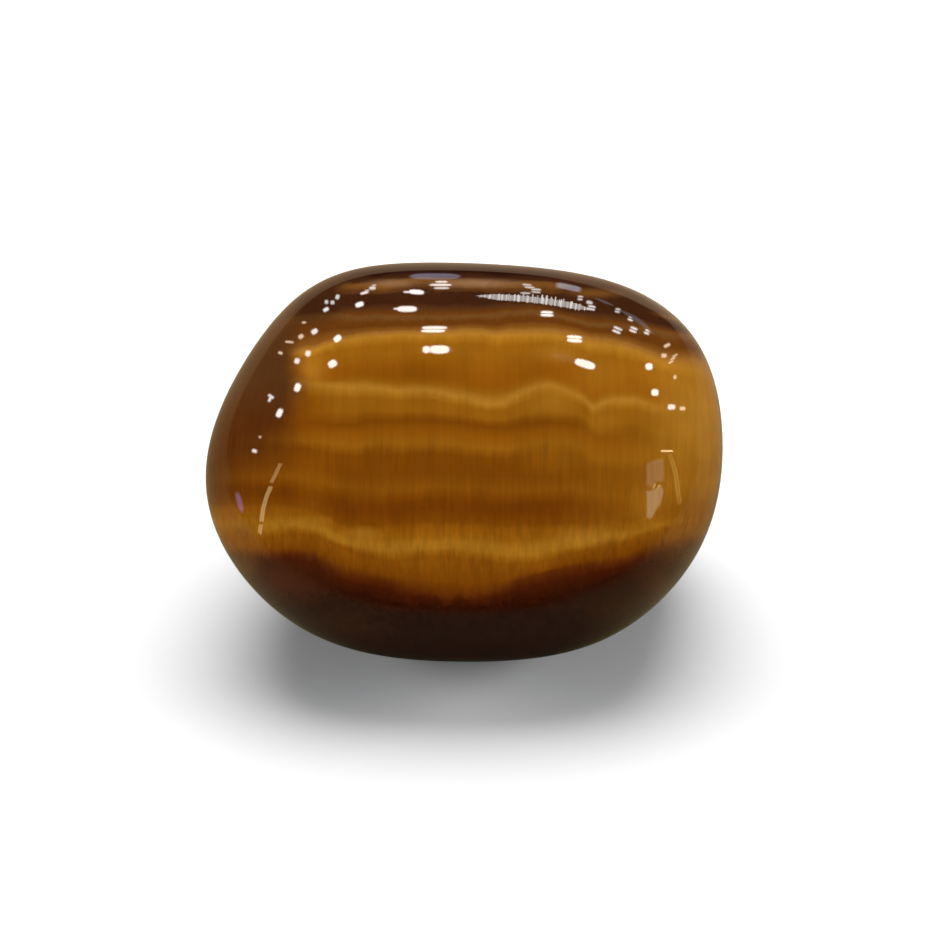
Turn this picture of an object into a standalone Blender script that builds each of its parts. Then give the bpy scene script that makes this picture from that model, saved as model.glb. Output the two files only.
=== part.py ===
"""Tiger's eye: one tumbled and polished pebble, lying on its own worn flat.

The pebble is a broken lump whose faces have been worn round. Each face is given by the way it
looks and by how far from the middle it would lie if it were still sharp. OUTLINE_FACES go round
the broad side of the pebble and BROAD_FACES close its front and back. The two sets are worn
separately: hard round the outline, which stays a rounded rectangle, and softer over the edge
between the outline and the broad sides.

The pebble leans back by LEAN, so that its broad side looks forward and up, and lies on a small
flat that is ground straight through its lower back edge.
"""
import math

import bmesh
import bpy
from mathutils import Matrix, Vector

MM = 0.001

# Each face is (turn round the broad side from the right, tip towards the front, reach in mm),
# with the angles in degrees and the broad side upright and looking along -Y.
OUTLINE_FACES = {
    "right": (0, 0, 15.2),
    "upper right": (50, 4, 15.8),
    "top": (89.5, 8, 12.6),
    "upper left": (143, 6, 14.5),
    "left": (188, 0, 16.2),
    "lower left": (231, 2, 13.8),
    "bottom": (270, 2, 11.6),
    "lower right": (313, 2, 13.7),
}
BROAD_FACES = {
    "front": (270, 87, 8.7),
    "back": (100, -86, 9.0),
    "lower back": (270, -38, 11.6),
    "upper back": (80, -45, 12.6),
    "left back": (190, -45, 14.5),
}
OUTLINE_WEAR = 7.8   # higher leaves the corners of the outline sharper
EDGE_WEAR = 4.0      # higher leaves a sharper edge round the broad sides

LEAN = math.radians(38)    # how far the broad side leans back from upright
FLAT_BELOW_MIDDLE = 9.5    # mm from the middle of the pebble down to the flat it lies on
DIVISIONS = 24             # squares along each edge of the cube that is rounded into the pebble

HONEY_BROWN = (0.27, 0.105, 0.015, 1.0)
POLISH = 0.08              # roughness of the tumbled surface


def face_slopes(faces):
    """The outward direction of each face divided by its reach, leaning as the pebble does."""
    lean = Matrix.Rotation(-LEAN, 3, "X")
    slopes = []
    for turn, tip, reach in faces.values():
        turn, tip = math.radians(turn), math.radians(tip)
        outward = Vector((math.cos(turn) * math.cos(tip), -math.sin(tip), math.sin(turn) * math.cos(tip)))
        slopes.append(lean @ outward / reach)
    return slopes


def worn(values, wear):
    """Joins the nearness of several faces into one, with their edges worn round."""
    return sum(max(value, 0.0) ** wear for value in values) ** (1 / wear)


def surface_point(toward, outline, broad):
    """The point of the pebble's surface in one direction from its middle, in mm."""
    nearness_of_outline = worn([toward.dot(slope) for slope in outline], OUTLINE_WEAR)
    nearness_of_broad = [toward.dot(slope) for slope in broad]
    reach = 1 / worn([nearness_of_outline] + nearness_of_broad, EDGE_WEAR)
    if toward.z < 0:
        reach = min(reach, FLAT_BELOW_MIDDLE / -toward.z)
    return toward * reach


def round_pebble():
    """A cube of even squares, blown out to the worn faces and set down on its flat."""
    mesh = bmesh.new()
    bmesh.ops.create_cube(mesh, size=2)
    bmesh.ops.subdivide_edges(mesh, edges=mesh.edges[:], cuts=DIVISIONS - 1, use_grid_fill=True)
    outline, broad = face_slopes(OUTLINE_FACES), face_slopes(BROAD_FACES)
    for vert in mesh.verts:
        # The tangent spaces the squares evenly as they are seen from the middle.
        toward = Vector([math.tan(side * math.pi / 4) for side in vert.co]).normalized()
        vert.co = surface_point(toward, outline, broad) * MM
    set_down(mesh)
    bmesh.ops.recalc_face_normals(mesh, faces=mesh.faces[:])
    return mesh


def set_down(mesh):
    """Moves the flat to height zero and the middle of the pebble's box over the origin."""
    lowest = [min(vert.co[axis] for vert in mesh.verts) for axis in range(3)]
    highest = [max(vert.co[axis] for vert in mesh.verts) for axis in range(3)]
    middle = [(low + high) / 2 for low, high in zip(lowest, highest)]
    bmesh.ops.translate(mesh, verts=mesh.verts[:], vec=(-middle[0], -middle[1], -lowest[2]))
    for vert in mesh.verts:
        if abs(vert.co.z) < 0.001 * MM:
            vert.co.z = 0.0


def polished_stone():
    material = bpy.data.materials.new("tigers_eye_polished")
    material.use_nodes = True
    surface = material.node_tree.nodes["Principled BSDF"]
    surface.inputs["Base Color"].default_value = HONEY_BROWN
    surface.inputs["Roughness"].default_value = POLISH
    surface.inputs["Metallic"].default_value = 0.0
    material.diffuse_color = HONEY_BROWN
    return material


def add_stone(collection):
    mesh = bpy.data.meshes.new("stone")
    pebble = round_pebble()
    pebble.to_mesh(mesh)
    pebble.free()
    mesh.materials.append(polished_stone())
    mesh.shade_smooth()
    collection.objects.link(bpy.data.objects.new("stone", mesh))


for old in list(bpy.data.objects):
    bpy.data.objects.remove(old)

tigers_eye = bpy.data.collections.new("tigers_eye")
bpy.context.scene.collection.children.link(tigers_eye)
add_stone(tigers_eye)
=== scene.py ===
"""A tumbled tiger's eye pebble: the polished stone, its silky bands and the light it lies in."""
import math

import bmesh
import bpy
from mathutils import Euler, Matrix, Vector
from mathutils.bvhtree import BVHTree
from mathutils.interpolate import poly_3d_calc


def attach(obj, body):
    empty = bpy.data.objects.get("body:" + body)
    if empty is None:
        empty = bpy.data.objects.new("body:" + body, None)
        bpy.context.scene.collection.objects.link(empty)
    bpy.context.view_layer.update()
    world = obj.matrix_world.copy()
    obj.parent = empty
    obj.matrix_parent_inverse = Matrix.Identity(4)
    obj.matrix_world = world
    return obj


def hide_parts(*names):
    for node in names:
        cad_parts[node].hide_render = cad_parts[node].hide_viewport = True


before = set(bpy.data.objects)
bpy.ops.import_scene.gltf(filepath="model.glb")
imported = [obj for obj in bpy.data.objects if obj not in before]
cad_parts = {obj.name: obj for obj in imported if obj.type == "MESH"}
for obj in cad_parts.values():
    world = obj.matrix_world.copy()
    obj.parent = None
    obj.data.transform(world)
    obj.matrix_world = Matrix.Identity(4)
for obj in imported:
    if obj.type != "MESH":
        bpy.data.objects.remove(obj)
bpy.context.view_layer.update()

MM = 0.001
LEAN = math.radians(38)                       # the broad side leans back from upright by this much
MIDDLE = Vector((-0.055, 0.33, 9.5)) * MM     # the middle of the pebble, from which its faces are worn
PICTURE = 928                                 # pixels along each side of the picture

# Stone colours, as sRGB bytes
# painted shade of the underside, over the stone's own dark brown
SHADED_DARK_BROWN = (36, 14, 6)
CLARET = (50, 15, 2)
OXBLOOD = (72, 25, 3)
RUST = (96, 43, 5)
CHESTNUT = (114, 58, 3)
RUSSET = (126, 68, 4)
TOFFEE = (135, 77, 8)
AMBER = (145, 83, 8)
HONEY = (150, 92, 14)
GOLD = (166, 109, 25)
STRAW = (173, 117, 35)
COCOA = (98, 53, 12)
FAWN = (105, 66, 27)
MINK = (82, 47, 19)
UMBER = (57, 28, 11)
BRONZE = (132, 97, 66)
DUSK = (36, 11, 3)
# painted shade of the left end
LEFT_END_SHADE = (84, 41, 9)
SADDLE = (104, 64, 24)
# the painted shade of the foot, lighter at its sides
FOOT_SIDE_BROWN = (50, 25, 9)
EMBER = (75, 34, 12)
HAZEL = (148, 97, 38)
CARAMEL = (128, 79, 25)

# The layers of fibre, from the lowest up. Each has its lower edge, as (place across, height) points
# in mm from the middle of the pebble, and its colours, as (share of the way up the layer, colour).
# No two edges may cross anywhere between the outermost places.
LAYERS = {
    # Painted shade: the foot and the red rim above it are the stone's own dark red and brown, painted
    # darker still where the underside lies in shade.
    "shaded dark foot": (
        [(-15, -13), (15, -13)],
        [(0, SHADED_DARK_BROWN), (0.88, SHADED_DARK_BROWN), (0.97, CLARET)],
    ),
    "red rim": (
        [(-15, -4.9), (-10.5, -5.3), (-8.5, -5.9), (-6.5, -6.75), (-4.2, -7.35), (-1.5, -7.45), (1.8, -7.4),
         (4.2, -7.15), (6, -6.75), (7.6, -6.25), (9.2, -5.6), (11, -4.9), (15, -4.3)],
        [(0, CLARET), (0.6, OXBLOOD)],
    ),
    "low amber": (
        [(-15, -4.8), (-10.5, -4.55), (-8.5, -4.75), (-7.5, -5.4), (-6.5, -5.6), (-4.2, -6.2),
         (-1.5, -6.8), (1.8, -6.6), (3, -6.05), (4.2, -5.65), (6, -5.35), (7.6, -5.15), (9.2, -4.8),
         (11, -4.3), (15, -3.8)],
        [(0, RUST), (0.35, RUSSET), (0.85, TOFFEE)],
    ),
    "low gold": (
        [(-15, -4.0), (-12, -3.75), (-10.5, -3.6), (-8.5, -3.55), (-6.5, -4.3), (-4.2, -5.0), (-1.5, -4.7),
         (1.8, -5.1), (4.2, -5.0), (6, -4.6), (7.6, -4.15), (9.2, -3.85), (11, -3.2), (15, -2.8)],
        [(0, TOFFEE), (0.14, HONEY), (0.28, GOLD), (0.45, GOLD), (0.66, HONEY), (0.88, AMBER)],
    ),
    "middle brown": (
        [(-15, -1.9), (-10.5, -2.0), (-8.5, -2.15), (-6.5, -3.05), (-4.2, -3.1), (-1.5, -2.85), (1.8, -3.1),
         (4.2, -3.1), (6, -3.0), (9.2, -2.8), (11, -2.3), (15, -2.0)],
        [(0, TOFFEE), (0.04, RUSSET), (0.2, CHESTNUT), (0.31, CHESTNUT), (0.41, RUSSET), (0.5, TOFFEE),
         (0.68, RUSSET), (0.95, RUSSET)],
    ),
    "light line": (
        [(-15, 1.6), (-8.5, 1.4), (-6.5, 1.15), (-1.5, 1.2), (1.8, 1.0), (4.2, 1.1), (6, 1.1), (7, 0.6),
         (8, 0.3), (9.2, 0.25), (11, 0.5), (15, 0.6)],
        [(0, TOFFEE), (0.25, HONEY), (0.62, AMBER)],
    ),
    "dark line": (
        [(-15, 2.9), (-8.5, 2.75), (-6.5, 2.6), (-4.2, 2.8), (-1.5, 2.8), (1.8, 2.5), (3.6, 2.55),
         (5.5, 2.65), (6.5, 2.5), (7.6, 1.95), (9.2, 2.0), (11, 1.5), (15, 1.6)],
        [(0, RUSSET), (0.17, TOFFEE), (0.35, HONEY), (0.72, HONEY), (0.9, GOLD)],
    ),
    "crest": (
        [(-15, 5.0), (-9.5, 5.0), (-8, 4.75), (-6.5, 4.65), (-4.2, 4.5), (-1.5, 4.3), (1.8, 3.8), (3, 4.15),
         (4.2, 4.6), (5, 4.65), (6, 4.3), (6.7, 3.85), (7.2, 3.45), (7.7, 3.75), (8.5, 3.95), (9.5, 3.95),
         (11, 3.5), (15, 3.9)],
        [(0, STRAW), (0.04, STRAW), (0.16, HONEY), (0.26, AMBER), (0.4, AMBER), (0.74, HONEY),
         (0.88, HONEY)],
    ),
    "high gold": (
        [(-15, 5.7), (-12, 6.0), (-9.5, 6.45), (-8.5, 6.7), (-6.5, 7.1), (-4.2, 7.35), (4.2, 7.35),
         (6, 7.15), (7.6, 6.75), (9.2, 6.5), (11, 5.95), (13, 5.2), (15, 5.0)],
        [(0, GOLD), (0.35, STRAW), (0.8, HAZEL)],
    ),
    "cocoa": (
        [(-15, 6.2), (-10, 6.9), (-8.5, 7.15), (-6.5, 7.6), (-4.2, 7.85), (-1.5, 8.05), (1.8, 8.0),
         (4.2, 8.05), (6, 7.9), (7.6, 7.55), (9.2, 7.15), (11, 6.7), (12.6, 6.5), (15, 6.6)],
        [(0, CARAMEL), (0.35, COCOA), (0.6, COCOA), (0.85, FAWN)],
    ),
    "dark lens": (
        [(-15, 7.4), (-9.5, 8.7), (-8, 8.9), (-7, 8.8), (-6, 8.65), (-4.2, 8.65), (1.8, 8.8), (4.2, 8.9),
         (6, 8.6), (7.6, 8.25), (9.2, 8.1), (11, 7.9), (13, 7.7), (15, 7.7)],
        [(0, FAWN), (0.1, COCOA), (0.22, MINK), (0.45, UMBER), (0.85, UMBER), (0.94, MINK)],
    ),
    "bronze strip": (
        [(-15, 8.0), (-9.5, 9.3), (-8, 9.8), (-6.5, 10.1), (-4.2, 10.2), (-2.8, 10.45), (-1.5, 10.3),
         (1.8, 10.05), (4.2, 10.15), (7.6, 9.95), (9.2, 9.5), (11, 8.9), (15, 7.6)],
        [(0, MINK), (0.3, SADDLE), (0.6, SADDLE), (0.85, UMBER)],
    ),
    "dusky top": (
        [(-15, 9.4), (-8.5, 10.6), (-6.5, 10.85), (-4.2, 10.95), (-2.8, 11.1), (0.2, 11.05), (1.8, 10.85),
         (4.2, 10.9), (6, 10.65), (7.6, 10.4), (9.2, 10.0), (11, 9.2), (15, 8.0)],
        [(0, UMBER), (0.15, DUSK), (1, DUSK)],
    ),
}
TOP = 13.0          # mm from the middle to the ends of the highest and the lowest layer

# Soft oval patches where the silk is lighter or darker, as (colour, strength, middle, reach), the last
# two as (across, up) in mm. Some of them are painted light and shade, as marked below.
PATCHES = {
    "bronze glow": (BRONZE, 0.95, (0.7, 10.58), (3.7, 0.42)),
    "bronze tip": (BRONZE, 0.7, (-4.0, 10.6), (2.2, 0.4)),
    "top gold": (SADDLE, 0.9, (7.4, 10.05), (2.4, 0.45)),
    # Painted shade: these two corner patches and the left shade darken the left end where it turns out of
    # the light.
    "lens corner shade": (UMBER, 0.6, (-9.0, 9.2), (2.9, 1.7)),
    "upper left corner shade": (UMBER, 0.5, (-8.9, 8.95), (3.2, 0.9)),
    "edge glow": (STRAW, 0.6, (-8.5, 5.6), (1.3, 1.5)),
    "edge amber": (CHESTNUT, 0.6, (-10.2, 6.4), (1.3, 1.5)),
    "high glow": (STRAW, 0.5, (5.3, 6.6), (2.2, 0.8)),
    "left shade": (RUSSET, 0.85, (-9.1, 3.4), (2.7, 2.4)),
    "left amber": (AMBER, 0.4, (-8.5, -0.6), (1.6, 3.0)),
    "left rim": (SADDLE, 0.6, (-14.5, -0.4), (2.0, 2.2)),
    "left flare": (GOLD, 0.7, (-8.4, -2.75), (1.6, 0.5)),
    "middle flare": (STRAW, 0.6, (-5.6, -3.45), (1.5, 0.6)),
    "right flare": (STRAW, 0.65, (6.8, -3.6), (2.8, 0.8)),
    "amber hollow": (CHESTNUT, 0.35, (-2.8, 5.5), (3.4, 1.1)),
    "crest foot": (GOLD, 0.75, (4.9, 3.9), (2.3, 1.3)),
    "right amber": (HONEY, 0.6, (5.0, 1.0), (3.2, 1.7)),
    "high right": (GOLD, 0.45, (7.8, 5.2), (3.0, 1.6)),
    "end gold": (STRAW, 0.85, (13.0, 3.2), (2.9, 3.8)),
    "right gold": (GOLD, 0.4, (7.8, 2.8), (1.6, 1.1)),
    # Painted reflection: the gold beside the door is the glow of the mirrored door next to it.
    "door reflection glow": (GOLD, 0.6, (10.2, -2.0), (1.4, 1.8)),
    "right end": (TOFFEE, 0.85, (13.4, -2.6), (3.2, 1.3)),
    "low end shade": (SADDLE, 0.6, (12.6, -4.3), (3.0, 1.6)),
    "left end": (TOFFEE, 0.85, (-12.9, -3.8), (3.2, 1.7)),
    # The foot patches below lighten the painted shade of the foot towards its sides.
    "left foot": (EMBER, 0.9, (-9.9, -6.1), (4.4, 2.3)),
    "left foot edge": (SADDLE, 0.7, (-12.6, -5.3), (1.6, 1.3)),
    "right foot edge": (EMBER, 0.7, (11.3, -6.2), (2.2, 2.6)),
    "left foot side": (FOOT_SIDE_BROWN, 0.8, (-7.0, -8.6), (4.2, 2.2)),
    "right foot side": (FOOT_SIDE_BROWN, 0.8, (8.0, -7.4), (4.4, 1.7)),
}
# Painted highlight: the tiny ring is the light on the rim of a small pit in the crest.
PIT_RIM_HIGHLIGHT = (STRAW, 0.6, (-1.6, 4.25), (0.19, 0.16))       # a tiny ring in the crest
RING_THICKNESS = 0.4                                       # as a share of its reach

# In the values below a pair is where a change starts and where it is full, in mm from the middle of
# the pebble.

# Painted light: the layers are painted paler towards the right, where the light falls on them, as (colour,
# strength, across, up from below, down from above).
RIGHT_PAINTED_LIGHT = {
    "pale right": (HONEY, 0.5, (4.5, 8.5), (-4.4, -3.0), (3.8, 2.2)),
    "golden end": (GOLD, 0.7, (8.6, 12.2), (-3.4, -0.4), (6.6, 5.0)),
}

# The bronze strip gives out at both ends.
STRIP_LEFT_END = (-6.2, -7.6)
STRIP_RIGHT_END = (4.8, 6.2)
STRIP_FOOT = (8.7, 9.1)

# Painted shade: the left end, which turns out of the light, is painted darker. Its edge wanders, and leans
# to the left above the high place.
TURN_ACROSS = (-8.3, -10.2)
TURN_WANDER = 1.6
TURN_HIGH, TURN_LEAN = 5.0, 0.15
TURN_FOOT, TURN_FOOT_LEAN = (5.0, 9.8), -0.6
TURN_DEPTH = (6.5, 1.0)
LEFT_END_SHADE_TO_MINK = (2.0, 5.5)

# The grains of the stone, as the width and length of their streaks in mm
GRAINS = {
    "fibres": (0.13, 2.6),
    "strands": (0.32, 5.0),
    "flecks": (0.3, 1.1),
    "sheaves": (0.9, 9.0),
    "clouds": (3.0, 2.0),
    "mottle": (0.35, 0.35),
}

# How many mm the grains move the layers up and down, and how the layers dip deep inside the stone
FIBRE_WANDER, FIBRE_WANDER_FOOT = 0.10, (-6.5, -4.0)
SHEAF_WANDER = 0.3
CLOUD_WANDER = 0.5
DIP, DIP_DEPTH = 2.4, (-5.0, 9.0)

# How much the grains lighten and darken the silk, as a share of its brightness. The fibres show most
# in the lower layers, flecks of painted sheen in the low gold and a fine mottle in the foot.
HIGH_FIBRES, LOW_FIBRES, LOWER_LAYERS = 0.18, 0.40, (3.0, 0.5)
EVEN_SHADES = {"strands": 0.22, "sheaves": 0.24, "clouds": 0.3}
SHEEN, SHEEN_FOOT, SHEEN_TOP = 0.6, (-6.3, -4.8), (-1.6, -2.9)
MOTTLE, MOTTLE_TOP = 1.3, (-6.2, -7.6)

STONE_FINISH = {
    "Roughness": 0.45,
    "Specular IOR Level": 0.0,
    "Metallic": 0.0,
    "IOR": 1.54,
    "Coat Weight": 1.0,
    "Coat Roughness": 0.02,
    "Coat IOR": 1.54,
}


def linear(rgb):
    """An sRGB colour in bytes, as the linear colour that a shader takes."""
    shares = [channel / 255 for channel in rgb]
    return tuple(s / 12.92 if s < 0.04045 else ((s + 0.055) / 1.055) ** 2.4 for s in shares) + (1.0,)


def grey(level):
    return (level, level, level, 1.0)


def add(tree, kind, inputs=(), **settings):
    """Adds a node. An input is set to a number or colour, or joined to another node's output."""
    made = tree.nodes.new("ShaderNode" + kind)
    for name, value in settings.items():
        setattr(made, name, value)
    for name, value in dict(inputs).items():
        if isinstance(value, bpy.types.NodeSocket):
            tree.links.new(value, made.inputs[name])
        else:
            made.inputs[name].default_value = value
    return made


def sums(tree, operation, first, second=0.0, third=0.0):
    """One step of arithmetic between numbers or outputs."""
    return add(tree, "Math", {0: first, 1: second, 2: third}, operation=operation).outputs[0]


def times(tree, product, *factors):
    for factor in factors:
        product = sums(tree, "MULTIPLY", product, factor)
    return product


def ramp(tree, value, start, full, kind="SMOOTHSTEP"):
    """0 as far as the start and 1 from full on."""
    made = add(tree, "MapRange", {"Value": value, "From Min": start, "From Max": full},
               interpolation_type=kind)
    return made.outputs["Result"]


def edge_height(tree, across, points, reach=15.0):
    """A smooth curve through (place across, height) points, both in mm and within reach of the middle."""
    made = add(tree, "FloatCurve", {"Value": ramp(tree, across, -reach, reach, "LINEAR")})
    curve = made.mapping.curves[0]
    while len(curve.points) < len(points):
        curve.points.new(0.5, 0.5)
    for point, (place, height) in zip(curve.points, points):
        point.location = ((place + reach) / (2 * reach), (height + reach) / (2 * reach))
    made.mapping.update()
    return sums(tree, "MULTIPLY_ADD", made.outputs[0], 2 * reach, -reach)


def mix(tree, share, first, second, blend="MIX"):
    made = add(tree, "Mix", {0: share, 6: first, 7: second}, data_type="RGBA", blend_type=blend)
    return made.outputs[2]


def tint(tree, silk, share, colour):
    return mix(tree, share, silk, linear(colour))


def colour_run(tree, share, stops):
    """Colours that follow each other as the share goes from 0 to 1."""
    made = add(tree, "ValToRGB", {"Fac": share})
    elements = made.color_ramp.elements
    while len(elements) < len(stops):
        elements.new(0.5)
    for element, (position, colour) in zip(elements, stops):
        element.position = position
        element.color = linear(colour)
    return made.outputs["Color"]


def grain(tree, place, wide, long):
    """Streaks along the fibres, from 0 to 1, of the given width and length in mm."""
    scale = (1 / wide, 1 / wide, 1 / long)
    squeezed = add(tree, "VectorMath", {0: place, 1: scale}, operation="MULTIPLY").outputs[0]
    return add(tree, "TexNoise", {"Vector": squeezed, "Scale": 1.0, "Detail": 2.0}).outputs[0]


def swing(tree, streaks, amount, middle=0.0):
    """A grain turned into a swing of that amount about the middle."""
    return sums(tree, "MULTIPLY_ADD", streaks, amount, middle - amount / 2)


def stone_places(tree):
    """Object coordinates turned upright and centred, in mm: across, into and up the broad side."""
    upright = Euler((LEAN, 0, 0))
    middle = upright.to_matrix() @ MIDDLE / MM
    here = add(tree, "TexCoord").outputs["Object"]
    return add(tree, "Mapping", {"Vector": here, "Location": -middle, "Rotation": upright,
                                 "Scale": (1 / MM,) * 3}).outputs[0]


def oval_distance(tree, place, middle, reach):
    """How far away the middle of an oval is: 0 in it and 1 at its reach."""
    scale = (1 / reach[0], 0, 1 / reach[1])
    shift = (-middle[0] / reach[0], 0, -middle[1] / reach[1])
    nearby = add(tree, "VectorMath", {0: place, 1: scale, 2: shift}, operation="MULTIPLY_ADD").outputs[0]
    return add(tree, "VectorMath", {0: nearby}, operation="LENGTH").outputs["Value"]


def layered_silk(tree, across, height):
    """The colour of the layers, each run of colours squeezed between its edge and the next one's."""
    names = list(LAYERS)
    edges = [edge_height(tree, across, LAYERS[name][0]) for name in names[1:]] + [TOP]
    lower, silk = -TOP, None
    for number, (name, upper) in enumerate(zip(names, edges)):
        stops = LAYERS[name][1]
        if number + 1 < len(names):
            next_stops = LAYERS[names[number + 1]][1]
            next_colour = next_stops[0][1]
            stops = stops + [(1, next_colour)]
        share = ramp(tree, height, lower, upper, "LINEAR")
        colours = colour_run(tree, share, stops)
        if silk is not None:
            colours = mix(tree, sums(tree, "GREATER_THAN", share, 0.0), silk, colours)
        lower, silk = upper, colours
    return silk


def layer_level(tree, depth, height, grains):
    """The height with the wander and the dip of the layers worked in."""
    fibres = swing(tree, grains["fibres"], FIBRE_WANDER)
    fibres = times(tree, fibres, ramp(tree, height, *FIBRE_WANDER_FOOT))
    sheaves = swing(tree, grains["sheaves"], SHEAF_WANDER)
    clouds = swing(tree, grains["clouds"], CLOUD_WANDER)
    dip = times(tree, ramp(tree, depth, *DIP_DEPTH), DIP)
    level = height
    for shift in (fibres, sheaves, clouds, dip):
        level = sums(tree, "ADD", level, shift)
    return level


def fade_sideways(tree, across, height, silk):
    """Ends the bronze strip, and paints light on the layers towards the right, paling them."""
    left, right = ramp(tree, across, *STRIP_LEFT_END), ramp(tree, across, *STRIP_RIGHT_END)
    ends = times(tree, sums(tree, "MAXIMUM", left, right), ramp(tree, height, *STRIP_FOOT))
    silk = tint(tree, silk, ends, UMBER)
    for colour, strength, sideways, foot, top in RIGHT_PAINTED_LIGHT.values():
        between = times(tree, ramp(tree, height, *foot), ramp(tree, height, *top))
        silk = tint(tree, silk, times(tree, ramp(tree, across, *sideways), strength, between), colour)
    return silk


def add_patches(tree, place, silk):
    for colour, strength, middle, reach in PATCHES.values():
        near = ramp(tree, oval_distance(tree, place, middle, reach), 1.0, 0.0)
        silk = tint(tree, silk, times(tree, near, strength), colour)
    # the painted highlight on the rim of a small pit
    colour, strength, middle, reach = PIT_RIM_HIGHLIGHT
    off_ring = sums(tree, "SUBTRACT", oval_distance(tree, place, middle, reach), 1.0)
    on_ring = ramp(tree, sums(tree, "ABSOLUTE", off_ring), RING_THICKNESS, 0.0)
    return tint(tree, silk, times(tree, on_ring, strength), colour)


def paint_left_end_shade(tree, across, depth, height, clouds, silk):
    """Paints shade on the left end, which turns out of the light."""
    rise = sums(tree, "MAXIMUM", sums(tree, "SUBTRACT", height, TURN_HIGH), 0.0)
    edge = sums(tree, "ADD", across, swing(tree, clouds, TURN_WANDER))
    shaded = ramp(tree, sums(tree, "MULTIPLY_ADD", rise, TURN_LEAN, edge), *TURN_ACROSS)
    foot = ramp(tree, sums(tree, "MULTIPLY_ADD", across, TURN_FOOT_LEAN, height), *TURN_FOOT)
    shaded = times(tree, shaded, foot, ramp(tree, depth, *TURN_DEPTH))
    painted_shade = mix(tree, ramp(tree, height, *LEFT_END_SHADE_TO_MINK), linear(LEFT_END_SHADE), linear(MINK))
    return mix(tree, shaded, silk, painted_shade)


def fibre_shade(tree, height, grains):
    """How bright the grains leave the silk, with 1 as no change."""
    fibres = sums(tree, "MULTIPLY_ADD", ramp(tree, height, *LOWER_LAYERS), LOW_FIBRES - HIGH_FIBRES,
                  HIGH_FIBRES)
    shade = sums(tree, "MULTIPLY_ADD", sums(tree, "SUBTRACT", grains["fibres"], 0.5), fibres, 1.0)
    for name, amount in EVEN_SHADES.items():
        shade = times(tree, shade, swing(tree, grains[name], amount, middle=1.0))
    # flecks of painted sheen on the silk in the low gold
    sheen = times(tree, ramp(tree, height, *SHEEN_FOOT), ramp(tree, height, *SHEEN_TOP),
                  swing(tree, grains["flecks"], SHEEN))
    mottle = times(tree, swing(tree, grains["mottle"], MOTTLE), ramp(tree, height, *MOTTLE_TOP))
    return sums(tree, "ADD", sums(tree, "ADD", shade, sheen), mottle)


def new_material(name, values):
    """A new material with those inputs of its surface set, and the surface."""
    material = bpy.data.materials.new(name)
    material.use_nodes = True
    surface = material.node_tree.nodes["Principled BSDF"]
    for socket, value in values.items():
        surface.inputs[socket].default_value = value
    return material, surface


def tigers_eye():
    """Silk whose fibres stand upright across its layers, under a mirror polish."""
    material, surface = new_material("tigers_eye", STONE_FINISH)
    tree = material.node_tree
    place = stone_places(tree)
    across, depth, height = add(tree, "SeparateXYZ", {0: place}).outputs
    grains = {name: grain(tree, place, *size) for name, size in GRAINS.items()}

    silk = layered_silk(tree, across, layer_level(tree, depth, height, grains))
    silk = fade_sideways(tree, across, height, silk)
    silk = add_patches(tree, place, silk)
    silk = paint_left_end_shade(tree, across, depth, height, grains["clouds"], silk)
    shade = fibre_shade(tree, height, grains)
    shades = add(tree, "CombineXYZ", {0: shade, 1: shade, 2: shade}).outputs[0]
    tree.links.new(mix(tree, 1.0, silk, shades, "MULTIPLY"), surface.inputs["Base Color"])
    return material


def as_object(name, shape, material):
    """The finished shape as an object of one material."""
    mesh = bpy.data.meshes.new(name)
    shape.to_mesh(mesh)
    shape.free()
    mesh.materials.clear()
    mesh.materials.append(material)
    made = bpy.data.objects.new(name, mesh)
    bpy.context.scene.collection.objects.link(made)
    return made


def polished_stone(solid):
    """The solid's own shape, made fine enough for a mirror polish."""
    shape = bmesh.new()
    shape.from_mesh(solid.data)
    bmesh.ops.remove_doubles(shape, verts=shape.verts[:], dist=0.001 * MM)
    bmesh.ops.join_triangles(shape, faces=shape.faces[:], angle_face_threshold=math.radians(30),
                             angle_shape_threshold=math.radians(40))
    stone = as_object("polished_stone", shape, tigers_eye())
    stone.data.shade_smooth()
    smooth = stone.modifiers.new("smooth", "SUBSURF")
    smooth.levels = smooth.render_levels = 2
    return stone


def ray_colours(tree, seen, mirrored, diffuse):
    """One colour for the camera, one for reflections and one for soft light."""
    rays = add(tree, "LightPath").outputs
    colour = mix(tree, rays["Is Glossy Ray"], diffuse, mirrored)
    return mix(tree, rays["Is Camera Ray"], colour, seen)


# What the polish mirrors of the table and the low wall past it, as (share of the way round, colour),
# from the front by the left, the back and the right to the front again.
SURROUNDINGS = [
    (0, (89, 88, 74)), (0.1, (89, 88, 74)), (0.18, (149, 140, 110)), (0.28, (149, 134, 90)),
    (0.36, (154, 135, 100)), (0.47, (166, 137, 107)), (0.52, (184, 157, 128)), (0.54, (180, 154, 125)),
    (0.57, (208, 182, 150)), (0.63, (137, 132, 118)), (0.7, (121, 121, 95)), (0.78, (158, 147, 110)),
    (0.84, (152, 139, 100)), (0.91, (89, 88, 74)), (1, (89, 88, 74)),
]
DARK_ROOM = (0.02, 0.018, 0.016, 1.0)       # above the wall and in front

FLOOR_REACH = 3.0                           # m
SEEN_FLOOR, FLOOR_BOUNCE = 0.16, 0.11       # how pale the floor is to the camera and in soft light
FLOOR_FINISH = {"Specular IOR Level": 0.0, "Roughness": 0.9, "Emission Strength": 1.0}
# Painted shadow: the table that the polish mirrors is painted darker within this reach of the stone, down
# to this level.
STONE_SHADOW, STONE_SHADOW_LEVEL = (0.009, 0.020), 0.25      # m; the mirrored table darkens there
TABLE_EDGE = (-0.03, -0.12)                 # m; the mirrored table ends there, towards the front

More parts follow.
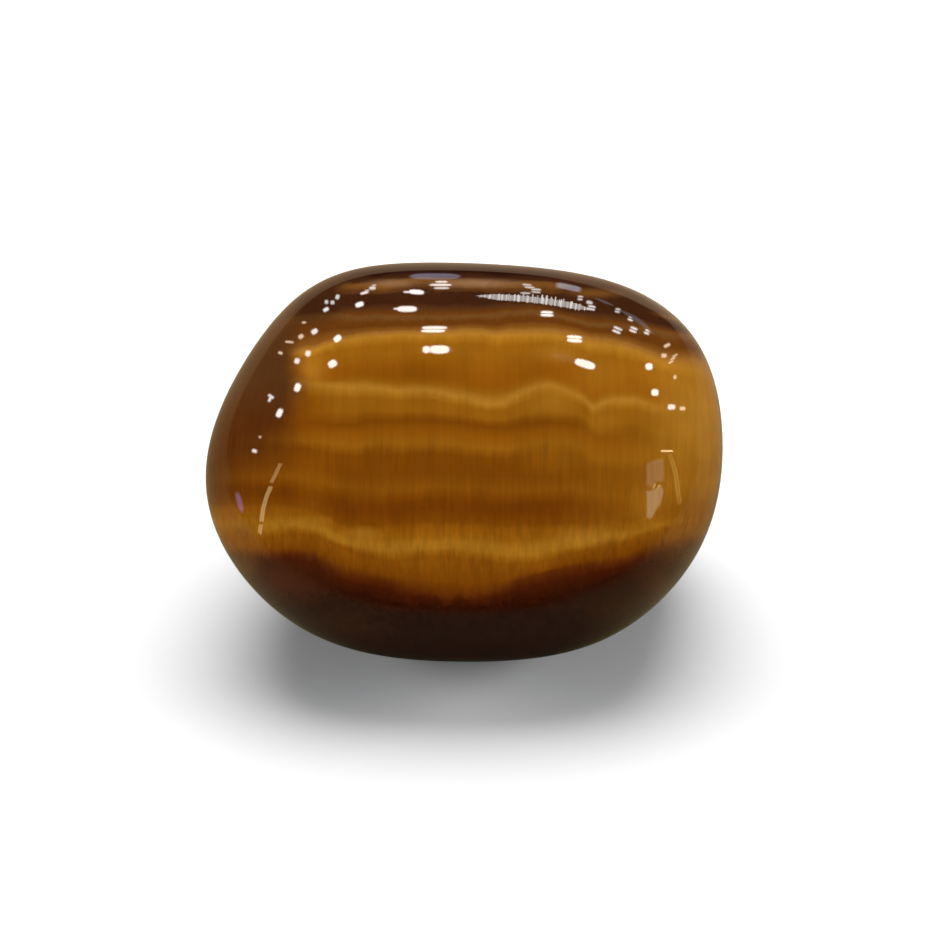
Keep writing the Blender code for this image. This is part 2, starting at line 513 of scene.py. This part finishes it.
# The low wall ends at WALL_TOP, as the upward part of a direction. It ends higher where the sideways
# part of the direction is between TALLER_FROM and TALLER_TO.
WALL_TOP, WALL_BLUR = 0.145, 0.025
TALLER_BY, TALLER_FROM, TALLER_TO = 0.16, (0.0, 0.25), (0.6, 0.42)
WALL_BEHIND = (-0.3, 0.0)
SEEN_ROOM, ROOM_LIGHT = 1.0, 0.66

# Broad lights, as (towards, energy, spread in degrees)
FLOOR_LIGHTS = [((0, 0.49, 1.0), 17.9, 55), ((-4.4, 0.32, 1.0), 12.8, 31), ((4.4, 0.32, 1.0), 17.8, 31)]
STONE_LIGHTS = [((-0.45, 0.35, 1.0), 1.55, 55), ((0.45, 0.35, 1.0), 1.55, 55)]

LENS, SENSOR = 100, 36                      # mm
SEEN_FROM, SEEN_TO = 0.01, 10               # m
AIM = Vector((-0.062, 0, 10.308)) * MM
CAMERA_AWAY = 150.925 * MM
MIRRORED_HEAD_ON = 0.045                    # share of the light that the polish mirrors head on


def surroundings(tree, across, into):
    """The colour of the table or the wall in a direction."""
    bearing = sums(tree, "ARCTAN2", across, into)
    return colour_run(tree, sums(tree, "MULTIPLY_ADD", bearing, 0.5 / math.pi, 0.5), SURROUNDINGS)


def pale_floor():
    shape = bmesh.new()
    bmesh.ops.create_grid(shape, x_segments=1, y_segments=1, size=FLOOR_REACH)
    material, surface = new_material("pale_floor", FLOOR_FINISH)
    tree = material.node_tree
    spot = add(tree, "TexCoord").outputs["Object"]
    away = add(tree, "VectorMath", {0: spot}, operation="LENGTH").outputs["Value"]
    across, into, _ = add(tree, "SeparateXYZ", {0: spot}).outputs
    # painted shadow of the stone on the mirrored table
    level = sums(tree, "MULTIPLY_ADD", ramp(tree, away, *STONE_SHADOW), 1 - STONE_SHADOW_LEVEL,
                 STONE_SHADOW_LEVEL)
    table = mix(tree, level, grey(0.0), surroundings(tree, across, into))
    mirrored = mix(tree, ramp(tree, into, *TABLE_EDGE), table, DARK_ROOM)
    colour = ray_colours(tree, grey(SEEN_FLOOR), grey(0.0), grey(FLOOR_BOUNCE))
    tree.links.new(colour, surface.inputs["Base Color"])
    emission = ray_colours(tree, grey(0.0), mirrored, grey(0.0))
    tree.links.new(emission, surface.inputs["Emission Color"])
    floor = as_object("floor", shape, material)
    return floor


def soft_room():
    """Even light all round, and the low wall that only the polish mirrors."""
    world = bpy.data.worlds.new("soft_room")
    world.use_nodes = True
    bpy.context.scene.world = world
    tree = world.node_tree
    direction = add(tree, "TexCoord").outputs["Generated"]
    across, into, up = add(tree, "SeparateXYZ", {0: direction}).outputs
    taller = times(tree, ramp(tree, across, *TALLER_FROM), ramp(tree, across, *TALLER_TO))
    top = sums(tree, "MULTIPLY_ADD", taller, TALLER_BY, WALL_TOP)
    low = ramp(tree, sums(tree, "SUBTRACT", up, top), WALL_BLUR, -WALL_BLUR)
    low = times(tree, low, ramp(tree, into, *WALL_BEHIND))
    mirrored = mix(tree, low, DARK_ROOM, surroundings(tree, across, into))
    colour = ray_colours(tree, grey(SEEN_ROOM), mirrored, grey(ROOM_LIGHT))
    tree.links.new(colour, tree.nodes["Background"].inputs["Color"])


def broad_light(towards, energy, spread, lit):
    """A soft light from a long way off, which lights one thing alone."""
    light = bpy.data.lights.new("broad_light", "SUN")
    light.energy = energy
    light.angle = math.radians(spread)
    holder = bpy.data.objects.new("broad_light", light)
    holder.rotation_euler = Vector(towards).to_track_quat("Z", "Y").to_euler()
    holder.visible_glossy = False
    bpy.context.scene.collection.objects.link(holder)
    only = bpy.data.collections.new("lit_" + lit.name)
    only.objects.link(lit)
    holder.light_linking.receiver_collection = only


def camera():
    """Looks straight at the broad side, down from the front."""
    sight = bpy.data.cameras.new("camera")
    sight.lens = LENS
    sight.sensor_width = SENSOR
    sight.clip_start, sight.clip_end = SEEN_FROM, SEEN_TO
    holder = bpy.data.objects.new("camera", sight)
    back = Vector((0, -math.cos(LEAN), math.sin(LEAN)))
    holder.location = AIM + back * CAMERA_AWAY
    holder.rotation_euler = (-back).to_track_quat("-Z", "Y").to_euler()
    bpy.context.scene.collection.objects.link(holder)
    bpy.context.scene.camera = holder
    return holder


class Polish:
    """The mirror of the stone as the camera sees it, to hang each lamp where its glint belongs."""

    def __init__(self, stone, view):
        bpy.context.view_layer.update()
        mesh = stone.evaluated_get(bpy.context.evaluated_depsgraph_get()).to_mesh()
        self.places = [vert.co.copy() for vert in mesh.vertices]
        self.facings = [vert.normal.copy() for vert in mesh.vertices]
        self.faces = [list(face.vertices) for face in mesh.polygons]
        self.tree = BVHTree.FromPolygons(self.places, self.faces)
        self.eye = view.location.copy()
        self.turn = view.rotation_euler.to_matrix()
        self.focal = view.data.lens / view.data.sensor_width * PICTURE

    def reflection(self, x, y):
        """Where the sight line through a pixel meets the polish, its way on and how much goes on."""
        across, up = x + 0.5 - PICTURE / 2, PICTURE / 2 - y - 0.5
        sight = self.turn @ Vector((across, up, -self.focal)).normalized()
        point, _, number, _ = self.tree.ray_cast(self.eye, sight)
        corners = self.faces[number]
        shares = poly_3d_calc([self.places[corner] for corner in corners], point)
        facing = sum((self.facings[corner] * share for corner, share in zip(corners, shares)), Vector())
        facing.normalize()
        grazing = (1 + sight.dot(facing)) ** 5
        mirrored = MIRRORED_HEAD_ON + (1 - MIRRORED_HEAD_ON) * grazing
        return point, sight.reflect(facing), mirrored


WHITE = (1.0, 0.97, 0.93, 1.0)
WARM_WHITE = (1.0, 0.8, 0.58, 1.0)
DOOR_WHITE = (1.0, 0.97, 0.7, 1.0)
CREAM = (1.0, 0.76, 0.36, 1.0)
YELLOW = (1.0, 0.68, 0.18, 1.0)
WINDOW_BLUE = (0.62, 0.7, 1.0, 1.0)
WINDOW_GREY = (0.85, 0.86, 1.0, 1.0)
VIOLET = (0.64, 0.42, 1.0, 1.0)

# The small glints, as (colour, brightness as it is seen, glints). Each glint is (x, y, wide, tall,
# tilt), in pixels of the picture and degrees.
LIGHTS = {
    "downlights": (WHITE, 0.9, [
        (434, 327.3, 25, 3.6, 0), (432.5, 330.4, 24, 3.2, 0), (426, 349, 7.5, 7.2, 0),
        (439, 349, 19.5, 8.5, 0), (406.5, 308.5, 20, 6, 0), (397.5, 308.3, 9, 2, 0),
        (416, 291.5, 15, 4.7, 4), (407.5, 291.5, 9, 1.8, 0), (359, 304, 8.6, 5, -18),
        (337, 338, 8.2, 6.2, -40), (332, 363.3, 9, 7.3, -30), (297, 387, 6.2, 8.7, 20),
        (279, 412.5, 5.8, 9.2, 25), (574, 336.6, 15, 3.4, 5), (574, 340, 15, 3.8, 5),
        (584.5, 363.5, 21, 7.8, 17), (546.5, 311.8, 12, 2.8, 2), (546.5, 314.6, 13, 3.2, 2),
        (648.5, 366, 7.2, 6.7, 0), (654.5, 392, 7.4, 6.8, 0),
    ]),
    "dimmer lights": (WHITE, 0.7, [
        (325.5, 309, 6, 3.8, -30), (314, 331, 6.8, 5.2, -35), (307.5, 353, 5.4, 5.8, 15),
        (296.5, 360.5, 5.4, 5.8, 15), (254, 450.5, 5.2, 3.8, 20), (671, 406.5, 7.6, 5.6, 0),
        (617.5, 328, 9, 2.6, 22), (615.8, 331.2, 9, 2.6, 22), (633.5, 327.8, 7.5, 2.4, 22),
        (632.3, 330.6, 7.5, 2.4, 22), (647.5, 330, 5.5, 2.4, 22), (646, 332.7, 5.5, 2.4, 22),
        (630.8, 316.8, 5.5, 2.2, 20), (629.8, 319.3, 5.5, 2.2, 20), (591.3, 306, 7.5, 2.2, 12),
        (590.6, 308.6, 7.5, 2.2, 12), (441, 281.3, 12, 1.8, 0), (440, 284.4, 22, 2.2, 0),
        (441, 287.6, 15, 1.8, 0), (270.5, 396, 6.5, 3, 35), (269.5, 398.5, 3, 6, 25),
        (364, 292.3, 8.5, 2.6, -15),
    ]),
    "faint lights": (WHITE, 0.5, [
        (337, 296.5, 4, 5, 20), (332, 302, 4, 4, 0), (326, 301.5, 3.5, 4, 0),
        (617.5, 308.8, 5, 2.2, 10), (616.8, 311.2, 5, 2.2, 10), (526.5, 284.3, 9, 1.6, 4),
        (529, 286.8, 10, 1.8, 4), (535.5, 289, 10, 2, 4), (535.5, 291.6, 9, 1.8, 4),
        (525, 292.6, 10, 1.8, 2), (589, 302, 6.5, 3.6, 12), (580, 296.2, 5, 2, 6),
        (579.5, 298.8, 5, 2.2, 6), (366.5, 290, 5, 1.6, -15), (372, 287.6, 6.5, 3.6, -5),
        (373.5, 284.8, 4, 1.4, -10),
    ]),
    "warm lights": (WARM_WHITE, 0.55, [
        (300.5, 336, 5.5, 4.5, -30), (289, 341.5, 8.5, 2.2, 5), (280, 352.5, 4.5, 3, 20),
        (682, 408, 6, 4, 0), (666.5, 345, 7, 3.5, -25), (663.5, 355, 5.5, 4.5, 0),
        (670.5, 361.5, 6, 1.8, -30), (672.5, 358, 6, 1.8, -30), (674.5, 355, 6, 1.8, -30),
        (674.5, 376.5, 3, 4, 0), (303.5, 322, 4, 2, 0), (259.5, 436.5, 2.5, 2.5, 0),
    ]),
}
DOOR_GLINTS = [(653.8, 485.6, 5.5, 1.8, -62), (658.2, 486, 5, 1.8, -62)]
RIGHT_SPARK = (666.5, 450.5, 13, 2, 0)
SMEAR = (563, 357, 26, 7, 12)
BLUE_WINDOW = (434.5, 276, 50, 6, 0)
GREY_WINDOW = (568, 286.8, 24.5, 5.5, 12)
VIOLET_LAMP = (239, 501.5, 5, 20, -15)

# Each ribbon is a path of (x, y) pixels, how wide it is and how bright it is seen.
LEFT_RIBBONS = [
    ([(280, 463), (276, 472), (271, 482)], 3.0, 0.17),
    ([(270.5, 486), (266.5, 495), (263, 507), (261, 521)], 4.4, 0.25),
    ([(260.5, 524), (259, 534)], 4.2, 0.21),
]
RIGHT_RIBBON = [(669, 453), (673, 465), (676, 478), (677.5, 491), (679.5, 504)], 4.6, 0.13
UPPER_RIBBONS = [
    ([(594, 297.5), (604, 301.5), (613, 305)], 3.0, 0.06),
    ([(620, 310), (633, 317), (644, 325), (652, 333)], 5.0, 0.06),
]
LOUVRE = [(476, 295.2), (495, 296.5), (520, 298), (540, 300.1), (560, 303), (577, 306.2), (590, 309)]
LOUVRE_WIDE = 7.0
SLATS, SLAT_THICK, SLAT_TILT = 52, 1.5, 7
TALLEST_SLAT = 4.0             # pixels that the tallest slat stands over the rest

# Each door is its corners and how bright it is seen.
UPPER_DOOR = (
    [(646, 464), (653, 460), (662, 458), (664, 470), (663, 481), (656, 481), (652, 487), (646, 484)],
    0.055,
)
LOWER_DOOR = (
    [(646, 491), (653, 489), (661, 485), (663, 492), (660, 503), (655, 510), (651, 518), (646, 517)],
    0.11,
)

# How far from the stone the lamps hang, in m. A lamp that shines over another hangs a little nearer.
FAR, NEAR = 2.0, 0.3
OVER_FAR, OVER_NEAR = 1.98, 0.298

# A soft glint is three lamps, each as (how many edges it is wider, share of the brightness).
SOFT_STEPS = [(1, 0.3), (0, 0.65), (-1, 1.0)]
SOFT_GAP = 0.005               # how much nearer each hangs than the one before, as a share


def glow(colour, brightness):
    finish = {"Base Color": grey(0.0), "Specular IOR Level": 0.0, "Emission Color": colour,
              "Emission Strength": brightness}
    return new_material("glow", finish)[0]


def pill(glint, grown=0.0, squareness=0.7, corners=16):
    """The outline of a glint: an oval with fuller corners."""
    x, y, wide, tall, tilt = glint
    turn = math.radians(tilt)
    outline = []
    for corner in range(corners):
        angle = 2 * math.pi * (corner + 0.5) / corners
        sides = math.cos(angle), math.sin(angle)
        along, down = [math.copysign(abs(side) ** squareness, side) for side in sides]
        along, down = along * (wide + grown) / 2, down * (tall + grown) / 2
        outline.append((x + along * math.cos(turn) - down * math.sin(turn),
                        y + along * math.sin(turn) + down * math.cos(turn)))
    return outline


def ribbon(path, wide, ends=1.0):
    """Four-sided outlines along a path, whose ends are as wide as their share of the middle."""
    sides = []
    for number, here in enumerate(path):
        before, after = path[max(number - 1, 0)], path[min(number + 1, len(path) - 1)]
        run = Vector((after[0] - before[0], after[1] - before[1])).normalized()
        half = wide / 2 * (ends if number in (0, len(path) - 1) else 1.0)
        aside = Vector((-run.y, run.x)) * half
        sides.append(((here[0] + aside.x, here[1] + aside.y), (here[0] - aside.x, here[1] - aside.y)))
    return [[a, b, d, c] for (a, b), (c, d) in zip(sides, sides[1:])]


def spread(outline, amount):
    """The outline with each corner that many pixels further from its middle."""
    middle = sum((Vector(corner) for corner in outline), Vector((0, 0))) / len(outline)
    away = [Vector(corner) - middle for corner in outline]
    return [tuple(middle + side + side.normalized() * amount) for side in away]


def along_path(path, share):
    """The place that share of the way along a path."""
    lengths = [math.dist(a, b) for a, b in zip(path, path[1:])]
    left = share * sum(lengths)
    for (a, b), length in zip(zip(path, path[1:]), lengths):
        if left <= length:
            return tuple(p + (q - p) * left / length for p, q in zip(a, b))
        left -= length
    return path[-1]


def hang(polish, outlines, colour, seen, distance=FAR):
    """A flat lamp whose mirror image fills the outlines, in pixels, and is seen as this bright there."""
    shape = bmesh.new()
    for outline in outlines:
        corners = []
        for x, y in outline:
            point, way, mirrored = polish.reflection(x, y)
            corners.append(shape.verts.new(point + way * distance))
        shape.faces.new(corners)
    # The last corner's share of mirrored light stands for the whole lamp.
    holder = as_object("lamp", shape, glow(colour, seen / mirrored))
    holder.visible_camera = holder.visible_diffuse = holder.visible_shadow = False


def hang_soft(polish, outline, colour, seen, edge=1.4, distance=FAR):
    """Three lamps in front of each other, so that the glint fades towards its edge."""
    for step, share in SOFT_STEPS:
        away = distance * (1 + SOFT_GAP * step)
        hang(polish, [spread(outline, edge * step)], colour, seen * share, away)


def beside(path, aside):
    return [(x + aside, y) for x, y in path]


def hang_ribbons(polish):
    """The ribbons on the left and on the right have bright edges, and the upper ones a bright middle."""
    for path, wide, seen in LEFT_RIBBONS:
        hang(polish, ribbon(path, wide), CREAM, seen * 0.6, NEAR)
        for aside in (-1.1, 1.1):
            hang(polish, ribbon(beside(path, aside), wide=1.5), CREAM, seen, OVER_NEAR)
    path, wide, seen = RIGHT_RIBBON
    hang(polish, ribbon(path, wide, ends=0.5), YELLOW, seen=0.045)
    for aside in (-1.4, 1.4):
        hang(polish, ribbon(beside(path, aside), wide=1.4, ends=0.6), YELLOW, seen, OVER_FAR)
    for path, wide, seen in UPPER_RIBBONS:
        hang(polish, ribbon(path, wide, ends=0.3), WINDOW_GREY, seen=0.035)
        hang(polish, ribbon(path, wide / 2, ends=0.3), WINDOW_GREY, seen, OVER_FAR)


def hang_louvre(polish):
    """A long lamp behind a row of bright slats, which sines of different rates make uneven. Every
    fourth slat is missing."""
    hang(polish, ribbon(LOUVRE, LOUVRE_WIDE * 0.8, ends=0.1), WHITE, seen=0.27)
    bars, dim_bars = [], []
    for slat in range(SLATS):
        shift, rise, growth, height, light = [math.sin(slat * rate) for rate in (2.9, 1.7, 3.7, 2.3, 5.3)]
        share = (slat + 0.5 + 0.3 * shift) / SLATS
        taper = min(1.0, 0.2 + 4.0 * share, 0.2 + 8.0 * (1 - share))
        taller = TALLEST_SLAT * math.sin(math.pi * share ** 1.4) ** 4 * abs(height)
        x, y = along_path(LOUVRE, share)
        thick, tall = SLAT_THICK + 0.5 * growth, LOUVRE_WIDE * taper + taller
        bar = pill((x, y - taller / 2 + 0.4 * rise, thick, tall, SLAT_TILT), corners=8)
        if slat % 4:
            (bars if light > -0.3 else dim_bars).append(bar)
    hang(polish, bars, WHITE, seen=0.62, distance=OVER_FAR)
    hang(polish, dim_bars, WHITE, seen=0.4, distance=1.985)


def hang_lamps(polish):
    for colour, seen, glints in LIGHTS.values():
        for glint in glints:
            hang(polish, [pill(glint, grown=1.0)], colour, seen * 0.35)
            hang(polish, [pill(glint, grown=-0.9)], colour, seen, OVER_FAR)
    hang_soft(polish, pill(SMEAR), WHITE, seen=0.015, edge=2.0, distance=2.2)
    hang_soft(polish, pill(BLUE_WINDOW), WINDOW_BLUE, seen=0.13)
    hang_soft(polish, pill(GREY_WINDOW, squareness=0.4), WINDOW_GREY, seen=0.2)
    hang_soft(polish, pill(VIOLET_LAMP), VIOLET, seen=0.12, distance=NEAR)
    hang_ribbons(polish)
    hang(polish, [pill(RIGHT_SPARK)], CREAM, seen=0.7)
    for corners, seen in (UPPER_DOOR, LOWER_DOOR):
        hang_soft(polish, corners, DOOR_WHITE, seen, edge=1.2)
    for glint in DOOR_GLINTS:
        hang(polish, [pill(glint)], CREAM, seen=0.25, distance=1.95)
    hang_louvre(polish)


stone = polished_stone(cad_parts["stone"])
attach(stone, "root")
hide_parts("stone")

soft_room()
floor = pale_floor()
for light in FLOOR_LIGHTS:
    broad_light(*light, floor)
for light in STONE_LIGHTS:
    broad_light(*light, stone)
hang_lamps(Polish(stone, camera()))
bpy.context.scene.view_settings.view_transform = "Standard"
bpy.context.scene.cycles.use_denoising = True
